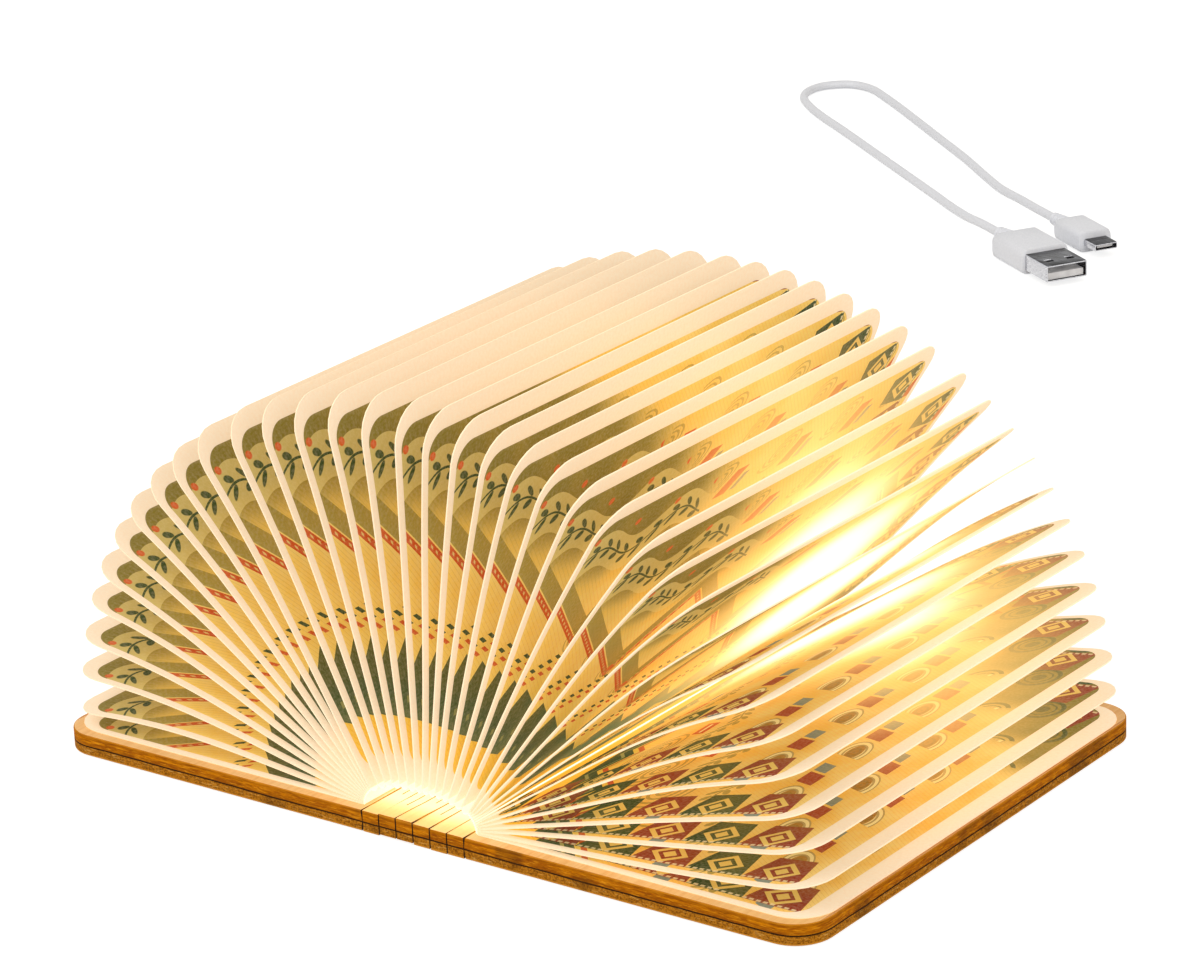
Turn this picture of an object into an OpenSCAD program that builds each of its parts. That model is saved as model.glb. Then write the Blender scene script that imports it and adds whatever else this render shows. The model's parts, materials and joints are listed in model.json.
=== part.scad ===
// Folding book lamp, lying open on a table.
// X runs across the open book, Y along its fold and Z up. The origin is on the table, under the
// middle of the spine.

/* [Covers] */
// Width of one cover, from its fold to its fore edge
cover_w = 81; // [60:1:120]
// Length of the covers and the spine along the fold
cover_d = 122; // [100:1:180]
// Thickness of the plywood
board_t = 4.5; // [3.5:0.1:6]
// Radius of the covers' corners at the fore edge
cover_r = 8; // [2:0.5:14]

/* [Spine] */
// Distance from one kerf to the next
slat_pitch = 4.2; // [4:0.1:6]
// Width of a kerf at half the board's thickness
kerf_w = 0.3; // [0.2:0.05:0.5]

/* [Pages] */
// Thickness of a leaf, two plies glued
leaf_t = 0.2; // [0.15:0.01:0.24]
// Thickness of an end paper
end_paper_t = 0.2; // [0.1:0.01:0.3]
// Radius of the leaves' corners at the fore edge
leaf_r = 8; // [2:0.5:14]
// How far the leaves stop short of the covers at both ends of the fold
end_setback = 2.5; // [1:0.5:8]
// How far the leaves stop short of the covers at the fore edge
fore_setback = 0.8; // [0.5:0.1:6]
// How far a leaf's root reaches over the last kerf of the closed spine
root_reach = 1.7; // [1.4:0.1:3]
// How far the arch drops from its crown to its shoulders
arch_drop = 2.4; // [1:0.1:3]

/* [Light core] */
// Length of the tray
tray_l = 99; // [80:1:110]
// Distance from the tray's far end to the far end of the covers
tray_far_setback = 4; // [2:1:10]
// Wall of the tray
tray_wall = 0.4; // [0.3:0.05:0.5]
// Depth of the tray's rim under the crown of the arch
tray_under_arch = 1.3; // [1.2:0.1:2]
// Size of the flat lithium cell: width, length and thickness
cell_size = [7.4, 45, 2.9]; // [2:0.1:60]
// Size of an LED: width, length and height
led_size = [2, 2.8, 0.5]; // [0.4:0.1:3]
// LEDs in each of the two rows
led_count = 10; // [4:1:12]

/* [Magnets] */
// Diameter of a closing magnet
magnet_d = 6; // [4:0.5:8]
// Thickness of a closing magnet
magnet_t = 1.8; // [1:0.1:2]
// Distance from a closing magnet's centre to the fore edge
magnet_fore = 9; // [6:0.5:20]
// Distance between a cover's two closing magnets
magnet_apart = 96; // [40:1:100]
// Diameter of the magnet that works the sensor
switch_magnet_d = 4; // [2:0.5:5]

/* [Charging cable] */
// Diameter of the cable
cable_d = 2.4; // [1.6:0.1:3.5]
// Size of the USB-A grip: length, width and height
usb_grip = [18, 14, 7]; // [6:0.5:40]
// Size of the USB-A shell: length, width and height
usb_shell = [12, 12, 4.5]; // [4:0.1:19]
// Size of the micro-USB grip: length, width and height
micro_grip = [15, 10, 6]; // [5:0.1:30]
// Size of the micro-USB shell: length, width and height
micro_shell = [6, 6.9, 1.9]; // [1.8:0.1:8]

/* [Hidden] */
$fn = 48;
SLATS = 6;
LEFT_LEAVES = 15;
RIGHT_LEAVES = 18;
// Leaves rooted on top of the arch, each side of the upright one
LEFT_ARCH = 5;
RIGHT_ARCH = 7;
LEAVES = LEFT_LEAVES + 1 + RIGHT_LEAVES;
// Angle from leaf to leaf, on the arch and beside it
LEFT_STEP = [5.2, 6.2];
RIGHT_STEP = [4.2, 5.1];

// Clearances
magnet_clear = 0.1;
fold_gap = 0.12;
slot_clear = 0.12;
seat_gap = 0.1;
solder_gap = 0.05;
// Degrees that a kerf opens beyond what the closed spine needs, on each side
bevel_spare = 0.4;
// Thickness of the inner folds
fold_t = 0.12;

// Spine: half its width, and the angle that each kerf turns through as the book closes
spine_half = SLATS * slat_pitch / 2;
kerf_angle = 180 / (SLATS + 1);
bevel = board_t / 2 * tan(kerf_angle / 2 + bevel_spare);

// The closed spine: the circle of its kerfs, with its centre over the middle kerf
fold_r = slat_pitch / 2 / sin(kerf_angle / 2);
fold_z = board_t / 2 + fold_r;
last_kerf_x = fold_r * sin(SLATS / 2 * kerf_angle);
last_kerf_z = fold_z - fold_r * cos(SLATS / 2 * kerf_angle);

// Pages
closed_half_gap = last_kerf_x - board_t / 2 - end_paper_t;
leaf_pitch = 2 * closed_half_gap / LEAVES;
arch_top = last_kerf_z + root_reach;
low_root_x = spine_half + root_reach;
shoulder_x = spine_half - kerf_w;
leaf_l = cover_w - root_reach - fore_setback;
leaf_d = cover_d - 2 * end_setback;

// Light core
tray_r = fold_r * cos(kerf_angle / 2) - board_t / 2 - slot_clear;
tray_in_r = tray_r - tray_wall;
tray_top = arch_top - tray_under_arch;
tray_far = cover_d / 2 - tray_far_setback;
tray_near = tray_far - tray_l;
cell_z = fold_z - sqrt(pow(tray_in_r, 2) - pow(cell_size[0] / 2, 2)) + seat_gap;
cell_from_end = 2;
cell_near = tray_near + cell_from_end;
led_board_t = 0.3;
led_board_from_end = 1;
led_board_z = cell_z + cell_size[2] + seat_gap;
led_board_near = tray_near + led_board_from_end;
led_row_x = 2.6;
control_board_t = 0.8;
control_board_l = 42;
control_board_up = 1.65;
control_board_z = fold_z - tray_in_r + control_board_up;
on_control_board_z = control_board_z + control_board_t + solder_gap;
socket_size = [7.5, 5.6, 2.6];
socket_mouth = [6.9, 5, 1.9];
socket_tongue = [3.5, 4.4, 0.5];
socket_tongue_up = 0.1;
led_board_far = tray_far - socket_size[1] - led_board_from_end;
sensor_size = [2.9, 1.6, 1];
sensor_from_end = 20;
sensor_y = tray_far - sensor_from_end;

// Magnet pockets
pocket_t = magnet_t + 2 * magnet_clear;
magnet_x = spine_half + cover_w - magnet_fore;
switch_magnet_t = 1.5;
switch_magnet_from_fold = 7;
switch_magnet_x = spine_half + switch_magnet_from_fold;

// Charging cable: how its plugs lie, and the points that the lead follows over the table
plug_angle = -atan(3 / 5);
usb_at = [-104, 326, usb_grip[2] / 2];
micro_at = [-99, 346, micro_grip[2] / 2];
relief_l = 8;
usb_relief_d = [cable_d + 1, cable_d + 3.2];
micro_relief_d = [cable_d + 0.8, cable_d + 2.4];
usb_grip_r = 1.6;
micro_grip_r = 1.4;
shell_r = 0.4;
usb_shell_wall = 0.3;
micro_shell_wall = 0.25;
tongue_short = 1;
usb_tongue_t = 1.8;
micro_tongue_t = 0.6;
tongue_side_gap = 0.5;
latch_hole = 2.2;
latch_apart = 6;
latch_from_grip = 6.6;
ROUTE = [
    [-104, 326, 3.5], [-109, 329, 3.5], [-114, 332, 3.4], [-122, 338, 2.3], [-132, 346, 1.4],
    [-144, 355, 1.2], [-158, 365, 1.2], [-172, 375, 1.2], [-186, 385, 1.2], [-200, 395, 1.2],
    [-213, 404, 1.2], [-222, 411, 1.2], [-229, 418, 1.2], [-232, 425, 1.2], [-231, 432, 1.2],
    [-225, 437, 1.2], [-217, 436, 1.2], [-208, 430, 1.2], [-196, 421, 1.2], [-182, 410, 1.2],
    [-168, 399, 1.2], [-154, 388, 1.2], [-141, 377, 1.2], [-129, 367, 1.4], [-117, 358, 2.4],
    [-109, 352, 3], [-104, 349, 3], [-99, 346, 3]
];
RINGS_PER_SPAN = 2;
CABLE_SIDES = 8;

function slat_name(n) = str("spine_slat_", n);
function leaf_name(n) = str("leaf_", n < 10 ? "0" : "", n);

// Leaf number from the left, counted from the upright leaf instead
function from_upright(n) = n - LEFT_LEAVES - 1;
function on_arch(i) = i >= -LEFT_ARCH && i <= RIGHT_ARCH;
function side(i) = i < 0 ? -1 : 1;

// Lean of leaf i from upright, in degrees, to the right
function lean(i) =
    let(step = i < 0 ? LEFT_STEP : RIGHT_STEP, top = i < 0 ? LEFT_ARCH : RIGHT_ARCH, n = abs(i))
    side(i) * (step[0] * min(n, top) + step[1] * max(n - top, 0));

// Where leaf i stands in the closed book, left or right of its middle
function closed_x(i) = -closed_half_gap + leaf_pitch * (i + LEFT_LEAVES + 0.5);

// Root of leaf i: spread over the arch, or stacked up beside the cover
function root(i) = on_arch(i) ? arch_root(i) : stacked_root(i);
function arch_root(i) =
    let(
        first = closed_x(0),
        steps = (i < 0 ? LEFT_ARCH : RIGHT_ARCH) + 1,
        x = first + (side(i) * shoulder_x - first) * abs(i) / steps
    )
    [x, arch_top - arch_drop * pow(abs(x) / shoulder_x, 3)];
function stacked_root(i) =
    let(
        in_stack = i < 0 ? LEFT_LEAVES - LEFT_ARCH : RIGHT_LEAVES - RIGHT_ARCH,
        up = (i < 0 ? LEFT_LEAVES : RIGHT_LEAVES) - abs(i),
        x = low_root_x - (low_root_x - shoulder_x - leaf_t / 2) * pow(up / (in_stack - 1), 2)
    )
    [side(i) * x, board_t + end_paper_t + leaf_pitch * (up + 0.5)];

// Plan of a sheet that lies from x = 0 to x = long, with round corners at its far edge
module sheet_plan(long, wide, r) {
    translate([0, -wide / 2]) square([long - r, wide]);
    translate([0, r - wide / 2]) square([long, wide - 2 * r]);
    for (y = [-1, 1]) translate([long - r, y * (wide / 2 - r)]) circle(r);
}

// Extrudes a section drawn in X and Z along Y, from y = near
module along_fold(near, length) {
    translate([0, near + length, 0]) rotate([90, 0, 0]) linear_extrude(length) children();
}

// Section of the board between two kerfs; the open edge, if any, is square
module board_section(from, to, open_end = false) {
    a = from + kerf_w / 2;
    b = open_end ? to : to - kerf_w / 2;
    inset = open_end ? 0 : bevel;
    polygon([
        [a, board_t / 2], [a + bevel, 0], [b - inset, 0], [b, board_t / 2],
        [b - inset, board_t], [a + bevel, board_t]
    ]);
}

module magnet_pocket(x, y, d, depth) {
    translate([x, y, board_t - depth]) cylinder(d = d + 2 * magnet_clear, h = depth + 1);
}

// Right cover; the left one is its mirror image, without the sensor's magnet
module cover(with_switch_magnet) {
    color("burlywood") difference() {
        intersection() {
            along_fold(-cover_d / 2, cover_d) board_section(spine_half, spine_half + cover_w, true);
            translate([spine_half, 0, 0]) linear_extrude(board_t) sheet_plan(cover_w, cover_d, cover_r);
        }
        for (y = [-1, 1]) magnet_pocket(magnet_x, y * magnet_apart / 2, magnet_d, pocket_t);
        if (with_switch_magnet)
            magnet_pocket(switch_magnet_x, sensor_y, switch_magnet_d, switch_magnet_t + 2 * magnet_clear);
    }
}

module closing_magnets() {
    color("silver") for (y = [-1, 1])
        translate([magnet_x, y * magnet_apart / 2, board_t - pocket_t + magnet_clear])
            cylinder(d = magnet_d, h = magnet_t);
}

module switch_magnet() {
    color("silver")
        translate([switch_magnet_x, sensor_y, board_t - magnet_clear - switch_magnet_t])
            cylinder(d = switch_magnet_d, h = switch_magnet_t);
}

module spine_slat(n) {
    from = (n - 1 - SLATS / 2) * slat_pitch;
    color("burlywood") along_fold(-cover_d / 2, cover_d) board_section(from, from + slat_pitch);
}

// End paper on the right cover, glued down over the magnets
module end_paper() {
    long = spine_half + cover_w - fore_setback - low_root_x;
    color("moccasin") translate([low_root_x, 0, board_t])
        linear_extrude(end_paper_t) sheet_plan(long, leaf_d, leaf_r);
}

// Leaf n from the left, standing at its lean on its root
module leaf(n) {
    i = from_upright(n);
    at = root(i);
    color("navajowhite") translate([at[0], 0, at[1]]) rotate([0, lean(i) - 90, 0])
        translate([0, 0, -leaf_t / 2]) linear_extrude(leaf_t) sheet_plan(leaf_l, leaf_d, leaf_r);
}

// Inner folds of the accordion, as one thin arch just under the leaves' roots
module inner_fold() {
    roots = concat(
        [[-low_root_x, board_t + fold_gap]],
        [for (i = [-LEFT_LEAVES:RIGHT_LEAVES]) root(i)],
        [[low_root_x, board_t + fold_gap]]);
    color("wheat") along_fold(-leaf_d / 2, leaf_d) polygon(concat(
        [for (at = roots) pull_in(at, fold_gap)],
        [for (k = [len(roots) - 1:-1:0]) pull_in(roots[k], fold_gap + fold_t)]));
}
function pull_in(at, by) =
    let(focus = [0, board_t / 2], away = [at[0], max(at[1] - board_t, 0)])
    at - by * away / norm(away);

// Tray of the light core, a trough on the closed spine's circle
module light_tray() {
    color("white") {
        along_fold(tray_near, tray_l) difference() {
            trough_section(tray_r);
            translate([0, tray_wall]) trough_section(tray_in_r, tray_wall);
        }
        along_fold(tray_near, tray_wall) trough_section(tray_in_r + tray_wall / 2);
    }
}
module trough_section(r, up = 0) {
    intersection() {
        translate([0, fold_z - up]) circle(r, $fn = 96);
        translate([-r, fold_z - r - 1]) square([2 * r, tray_top - fold_z + r + 1]);
    }
}

module battery_cell() {
    color("lightsteelblue") translate([-cell_size[0] / 2, cell_near, cell_z]) cube(cell_size);
}

module led_board() {
    half = sqrt(pow(tray_in_r, 2) - pow(fold_z - led_board_z, 2)) - seat_gap;
    color("white") translate([-half, led_board_near, led_board_z])
        cube([2 * half, led_board_far - led_board_near, led_board_t]);
}

module leds() {
    pitch = (led_board_far - led_board_near) / led_count;
    color("gold") for (k = [0:led_count - 1], s = [-1, 1])
        translate([s * led_row_x, led_board_near + (k + 0.5) * pitch, led_board_z + led_board_t])
            translate([-led_size[0] / 2, -led_size[1] / 2, 0]) cube(led_size);
}

module control_board() {
    half = sqrt(pow(tray_in_r, 2) - pow(fold_z - control_board_z, 2)) - seat_gap;
    color("darkgreen") translate([-half, tray_far - control_board_l, control_board_z])
        cube([2 * half, control_board_l, control_board_t]);
}

module opening_sensor() {
    color("dimgray")
        translate([-sensor_size[0] / 2, sensor_y, on_control_board_z]) cube(sensor_size);
}

// Micro-USB socket, open towards the far end of the book
module charge_socket() {
    inset = (socket_size[2] - socket_mouth[2]) / 2;
    color("silver") translate([0, tray_far - socket_size[1], on_control_board_z]) {
        difference() {
            translate([-socket_size[0] / 2, 0, 0]) cube(socket_size);
            translate([-socket_mouth[0] / 2, socket_size[1] - socket_mouth[1], inset])
                cube([socket_mouth[0], socket_mouth[1] + 1, socket_mouth[2]]);
        }
        translate([-socket_tongue[0] / 2, solder_gap, socket_size[2] / 2 + socket_tongue_up])
            cube([socket_tongue[0], socket_tongue[1], socket_tongue[2]]);
    }
}

// Point at share f of the span that starts at route point k, on a curve through all the points
function route_point(k, f) =
    let(
        last = len(ROUTE) - 1,
        a = ROUTE[max(k - 1, 0)], b = ROUTE[k], c = ROUTE[min(k + 1, last)], d = ROUTE[min(k + 2, last)],
        at = b + (c - a) * f / 2 + (2 * a - 5 * b + 4 * c - d) * pow(f, 2) / 2
            + (3 * b - a - 3 * c + d) * pow(f, 3) / 2
    )
    [at[0], at[1], max(at[2], cable_d / 2)];

module usb_cable() {
    spans = len(ROUTE) - 1;
    path = concat(
        [for (k = [0:spans - 1], j = [0:RINGS_PER_SPAN - 1]) route_point(k, j / RINGS_PER_SPAN)],
        [ROUTE[spans]]);
    last = len(path) - 1;
    rings = [for (k = [0:last])
        let(
            along = path[min(k + 1, last)] - path[max(k - 1, 0)],
            across = cross([0, 0, 1], along) / norm(cross([0, 0, 1], along)),
            up = cross(along, across) / norm(cross(along, across))
        )
        for (j = [0:CABLE_SIDES - 1])
            let(a = 360 * j / CABLE_SIDES)
            path[k] + cable_d / 2 * (cos(a) * across + sin(a) * up)];
    walls = [for (k = [0:last - 1], j = [0:CABLE_SIDES - 1], half = [0, 1])
        let(
            a = k * CABLE_SIDES + j, b = k * CABLE_SIDES + (j + 1) % CABLE_SIDES,
            c = a + CABLE_SIDES, d = b + CABLE_SIDES
        )
        half == 0 ? [a, c, b] : [b, c, d]];
    caps = [
        [for (j = [0:CABLE_SIDES - 1]) j],
        [for (j = [CABLE_SIDES - 1:-1:0]) last * CABLE_SIDES + j]];
    color("gainsboro") polyhedron(rings, concat(walls, caps));
}

// Box that lies along X from x = from, centred in Y and Z, with its long edges rounded
module plug_body(from, size, r) {
    translate([from, 0, 0]) rotate([90, 0, 90]) linear_extrude(size[0]) {
        square([size[1] - 2 * r, size[2]], center = true);
        square([size[1], size[2] - 2 * r], center = true);
        for (y = [-1, 1], z = [-1, 1])
            translate([y * (size[1] / 2 - r), z * (size[2] / 2 - r)]) circle(r);
    }
}

module lay_plug(at) {
    translate(at) rotate([0, 0, plug_angle]) children();
}

// Moulded grip with its strain relief
module plug_grip(size, relief, r) {
    rotate([0, 90, 0]) cylinder(d1 = relief[0], d2 = relief[1], h = relief_l, $fn = 32);
    plug_body(relief_l, size, r);
}

module usb_plug_grip() {
    tongue = [
        usb_shell[0] - tongue_short,
        usb_shell[1] - 2 * (usb_shell_wall + tongue_side_gap),
        usb_tongue_t
    ];
    color("whitesmoke") lay_plug(usb_at) {
        plug_grip(usb_grip, usb_relief_d, usb_grip_r);
        translate([relief_l + usb_grip[0], -tongue[1] / 2, -tongue[2]]) cube(tongue);
    }
}

// Folded metal tube of a plug, open at its end
module plug_shell(from, size, wall) {
    difference() {
        plug_body(from, size, shell_r);
        translate([from - 1, -size[1] / 2 + wall, -size[2] / 2 + wall])
            cube([size[0] + 2, size[1] - 2 * wall, size[2] - 2 * wall]);
    }
}

module usb_plug_shell() {
    from = relief_l + usb_grip[0];
    color("silver") lay_plug(usb_at) difference() {
        plug_shell(from, usb_shell, usb_shell_wall);
        for (y = [-1, 1])
            translate([from + latch_from_grip, (y * latch_apart - latch_hole) / 2, -usb_shell[2]])
                cube([latch_hole, latch_hole, 2 * usb_shell[2]]);
    }
}

module micro_plug_grip() {
    tongue = [
        micro_shell[0] - tongue_short,
        micro_shell[1] - 2 * (micro_shell_wall + 2 * tongue_side_gap),
        micro_tongue_t
    ];
    color("whitesmoke") lay_plug(micro_at) {
        plug_grip(micro_grip, micro_relief_d, micro_grip_r);
        translate([relief_l + micro_grip[0], -tongue[1] / 2, -tongue[2] / 2]) cube(tongue);
    }
}

module micro_plug_shell() {
    color("silver") lay_plug(micro_at) plug_shell(relief_l + micro_grip[0], micro_shell, micro_shell_wall);
}

mirror([1, 0, 0]) cover(false);  // cover_left
cover(true);  // cover_right
mirror([1, 0, 0]) end_paper();  // end_paper_left
end_paper();  // end_paper_right
for (n = [1:SLATS]) spine_slat(n);
for (n = [1:LEAVES]) leaf(n);
inner_fold();
light_tray();
battery_cell();
led_board();
leds();
control_board();
opening_sensor();
charge_socket();
mirror([1, 0, 0]) closing_magnets();  // closing_magnets_left
closing_magnets();  // closing_magnets_right
switch_magnet();
usb_cable();
usb_plug_grip();
usb_plug_shell();
micro_plug_grip();
micro_plug_shell();
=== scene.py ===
"""Looks of a folding book lamp, lying open and lit on a white table beside its charging cable."""

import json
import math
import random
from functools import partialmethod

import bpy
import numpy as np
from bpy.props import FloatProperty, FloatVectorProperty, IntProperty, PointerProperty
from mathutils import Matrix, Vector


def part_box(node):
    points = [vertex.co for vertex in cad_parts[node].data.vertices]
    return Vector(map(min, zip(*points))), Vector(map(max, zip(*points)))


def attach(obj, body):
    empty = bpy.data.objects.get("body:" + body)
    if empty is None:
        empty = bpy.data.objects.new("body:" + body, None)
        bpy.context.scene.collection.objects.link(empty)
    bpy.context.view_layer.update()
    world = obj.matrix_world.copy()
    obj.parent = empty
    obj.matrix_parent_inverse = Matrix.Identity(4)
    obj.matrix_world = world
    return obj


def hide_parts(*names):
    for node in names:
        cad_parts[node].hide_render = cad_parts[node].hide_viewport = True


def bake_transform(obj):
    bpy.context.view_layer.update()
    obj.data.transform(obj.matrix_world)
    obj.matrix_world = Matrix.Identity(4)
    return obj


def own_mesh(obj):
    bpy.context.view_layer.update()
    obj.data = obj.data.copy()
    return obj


bl_info = {
    "name": "Folding book lamp",
    "version": (1, 0, 0),
    "blender": (4, 5, 0),
    "location": "View3D > Sidebar > Book lamp",
    "description": "Makes the visible pieces of a folding book lamp around its frame",
    "category": "Object",
}

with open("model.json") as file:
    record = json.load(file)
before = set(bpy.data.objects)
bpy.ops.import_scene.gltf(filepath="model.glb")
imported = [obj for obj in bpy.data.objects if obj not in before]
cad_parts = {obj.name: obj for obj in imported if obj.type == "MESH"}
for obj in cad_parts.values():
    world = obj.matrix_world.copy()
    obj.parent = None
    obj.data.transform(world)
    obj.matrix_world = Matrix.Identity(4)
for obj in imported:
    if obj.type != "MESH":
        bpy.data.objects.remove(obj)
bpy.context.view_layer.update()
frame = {"nodes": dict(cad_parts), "record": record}

MM = 0.001

# Sizes that the frame gives
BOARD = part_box("spine_slat_1")[1].z
COVER_LOW, COVER_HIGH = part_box("cover_right")
PAPER_LOW, PAPER_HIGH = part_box("end_paper_right")
FOLD_LENGTH = COVER_HIGH.y - COVER_LOW.y
LEAF_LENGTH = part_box("leaf_16")[1].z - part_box("leaf_16")[0].z
LEAF_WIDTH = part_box("leaf_16")[1].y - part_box("leaf_16")[0].y
SLATS = sorted(n for n in frame["nodes"] if n.startswith("spine_slat_"))
LEAVES = sorted(n for n in frame["nodes"] if n.startswith("leaf_"))
SLAT_PITCH = 2 * COVER_LOW.x / len(SLATS)
BODY_OF = {n: b for b, ns in frame["record"]["behaviour"]["bodies"].items() for n in ns}
UPRIGHT_LEAF = "leaf_16"

# Thickness of the paper in the inner folds
FOLD_PAPER = 0.12 * MM

# Camera, worked out from the photograph: place and aim in metres
CAMERA_AT = (0.549202, -0.725093, 0.390962)
CAMERA_AIM = (-0.556909, 0.735268, -0.386308)
CAMERA_ROLL = math.radians(-2.49)
CAMERA_LENS = 144.1
CAMERA_SHIFT = (0.0049, 0.1793)

# Centreline of the cable in metres, from the USB-A plug over the table to the micro-USB plug
CABLE_ROUTE = [
    (-0.104, 0.326, 0.0035), (-0.109, 0.329, 0.0035), (-0.114, 0.332, 0.0034),
    (-0.122, 0.338, 0.0023), (-0.132, 0.346, 0.0014), (-0.144, 0.355, 0.0012),
    (-0.158, 0.365, 0.0012), (-0.172, 0.375, 0.0012), (-0.186, 0.385, 0.0012),
    (-0.200, 0.395, 0.0012), (-0.213, 0.404, 0.0012), (-0.222, 0.411, 0.0012),
    (-0.229, 0.418, 0.0012), (-0.232, 0.425, 0.0012), (-0.231, 0.432, 0.0012),
    (-0.225, 0.437, 0.0012), (-0.217, 0.436, 0.0012), (-0.208, 0.430, 0.0012),
    (-0.196, 0.421, 0.0012), (-0.182, 0.410, 0.0012), (-0.168, 0.399, 0.0012),
    (-0.154, 0.388, 0.0012), (-0.141, 0.377, 0.0012), (-0.129, 0.367, 0.0014),
    (-0.117, 0.358, 0.0024), (-0.109, 0.352, 0.003), (-0.104, 0.349, 0.003),
    (-0.099, 0.346, 0.003),
]
PLUG_ANGLE = -math.atan(3 / 5)

# Plugs in millimetres: length of the strain relief and its radii, then length, half width and half
# height of the grip and of the shell, wall of the shell, and half width, height and rise of the block
RELIEF = 8
PLUGS = (
    {"name": "usb", "at": CABLE_ROUTE[0], "relief": (1.9, 2.8), "grip": (18, 7.0, 3.5),
     "shell": (12, 6.0, 2.25), "wall": 0.3, "block": (5.2, 1.8, -0.9), "latches": True},
    {"name": "micro", "at": CABLE_ROUTE[-1], "relief": (1.7, 2.4), "grip": (15, 5.0, 3.0),
     "shell": (6, 3.45, 0.95), "wall": 0.22, "block": (2.3, 0.6, 0.0), "latches": False})


def linear(hex_colour):
    """sRGB hex, such as "FDE6C8", as linear red, green and blue."""
    parts = [int(hex_colour[k:k + 2], 16) / 255 for k in (0, 2, 4)]
    return tuple(c / 12.92 if c <= 0.04045 else ((c + 0.055) / 1.055) ** 2.4 for c in parts)


def colour(hex_colour, text):
    """A colour that a user may change, from its sRGB hex value."""
    return FloatVectorProperty(
        name=text, description=f"Colour of the {text.lower()}", subtype="COLOR", size=3,
        min=0, max=1, default=linear(hex_colour))


def length(mm, text, low, high):
    """A length that a user may change, given in millimetres and kept in metres."""
    return FloatProperty(
        name=text, description=text, subtype="DISTANCE", unit="LENGTH", precision=5,
        default=mm * MM, min=low * MM, max=high * MM)


class BookLampPages(bpy.types.PropertyGroup):
    """Sizes and colours of the leaves and end papers."""

    thick: length(0.3, "Thickness of a leaf at its cut edge", 0.1, 0.36)
    corner: length(8, "Radius of a leaf's corners", 2, 14)
    border: length(1.7, "Bare border at the ends of the fold", 1, 10)
    fore_border: length(4.3, "Bare border at the fore edge", 1, 12)
    root_border: length(2.2, "Bare border at the root", 1, 14)
    droop: length(2.7, "Rise of a leaning leaf over the line from root to tip", 0, 4)
    ripple: length(0.35, "Waviness of the leaves", 0, 1)
    depth: FloatProperty(
        name="Albedo", description="Share of light that the paper throws back", default=0.66, min=0, max=1)
    glow: FloatProperty(
        name="Glow", description="Strength of the light inside the leaves", default=1, min=0, max=3)
    paper: colour("FDEFDB", "Bare paper")
    straw: colour("F2CA5A", "Printed ground")
    olive: colour("807428", "Printed olive")
    leaf_green: colour("2B471C", "Printed dark green")
    red: colour("CC5414", "Printed orange red")
    grey_blue: colour("76847C", "Printed grey blue")
    light: colour("FFF2DC", "Lamp light")


class BookLampWood(bpy.types.PropertyGroup):
    """Sizes and colours of the plywood."""

    corner: length(8, "Radius of a cover's corners", 2, 14)
    kerf: length(0.32, "Width of a kerf", 0.2, 0.8)
    slit: length(0.28, "Width of a slit in a slat", 0.1, 0.6)
    slit_run: length(11, "Length of a slit", 4, 20)
    slit_gap: length(4, "Wood between two slits", 1, 8)
    veneer: colour("F0C07C", "Face veneer")
    honey: colour("E28C02", "Upper ply at the cut edge")
    umber: colour("C27E1C", "Lower ply at the cut edge")
    char: colour("2E1A08", "Burnt kerf")


class BookLampCable(bpy.types.PropertyGroup):
    """Sizes and colours of the charging cable."""

    thick: length(2.4, "Thickness of the cable", 1.6, 3.5)
    sheath: colour("E6E9F0", "Cable sheath")
    # The plug shells' colour is dark for their wide faces, as painted reflection
    metal: colour("6C6D72", "Plug shells")
    ribs: IntProperty(name="Relief ribs", description="Grooves in a strain relief", default=4, min=1, max=8)


def pages():
    return bpy.context.scene.book_lamp_pages


def wood():
    return bpy.context.scene.book_lamp_wood


def cable():
    return bpy.context.scene.book_lamp_cable


class Field:
    """An output of a node. Arithmetic on it adds Math nodes to its tree."""

    def __init__(self, tree, socket):
        self.tree, self.socket = tree, socket

    def math(self, operation, *others):
        """A Math node with this output as its first value."""
        return add(self.tree, "Math", (self, *others), operation=operation)

    def __rsub__(self, other):
        return add(self.tree, "Math", (other, self), operation="SUBTRACT")

    __add__ = partialmethod(math, "ADD")
    __sub__ = partialmethod(math, "SUBTRACT")
    __mul__ = partialmethod(math, "MULTIPLY")
    __lt__ = partialmethod(math, "LESS_THAN")
    __gt__ = partialmethod(math, "GREATER_THAN")
    __abs__ = partialmethod(math, "ABSOLUTE")


def add(tree, kind, inputs=(), out=0, **settings):
    """Adds a node with its settings and inputs, in order or by name, and returns one of its outputs."""
    node = tree.nodes.new(kind if "Node" in kind else "ShaderNode" + kind)
    for name, value in settings.items():
        setattr(node, name, value)
    if not isinstance(inputs, dict):
        inputs = dict(zip([s.identifier for s in node.inputs if s.enabled], inputs))
    by_name = {s.identifier: s for s in node.inputs}
    by_name.update({s.name: s for s in reversed(node.inputs) if s.enabled})
    by_name.update({s.identifier: s for s in node.inputs if s.identifier in inputs})
    for name, value in inputs.items():
        socket = by_name[name]
        if isinstance(value, Field):
            tree.links.new(value.socket, socket)
        else:
            socket.default_value = rgba(value) if socket.type == "RGBA" else value
    shown = [s for s in node.outputs if s.enabled]
    return Field(tree, shown[out]) if shown else node


def rgba(value):
    """Red, green, blue and alpha of a linear colour, or of an sRGB hex value."""
    return (*(linear(value) if isinstance(value, str) else value[:3]), 1)


def paint(tree, base, *layers, blend="MIX"):
    """Lays colours over base, one on the other: each layer is how much of it shows, and its colour."""
    for share, above in layers:
        base = add(tree, "Mix", {"Factor_Float": share, "A_Color": base, "B_Color": above},
                   data_type="RGBA", blend_type=blend)
    return base


def ramp(value, low, high, to_low=0, to_high=1):
    """Runs smoothly from to_low to to_high as value runs from low to high."""
    return add(value.tree, "MapRange", (value, low, high, to_low, to_high),
               interpolation_type="SMOOTHSTEP")


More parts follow.
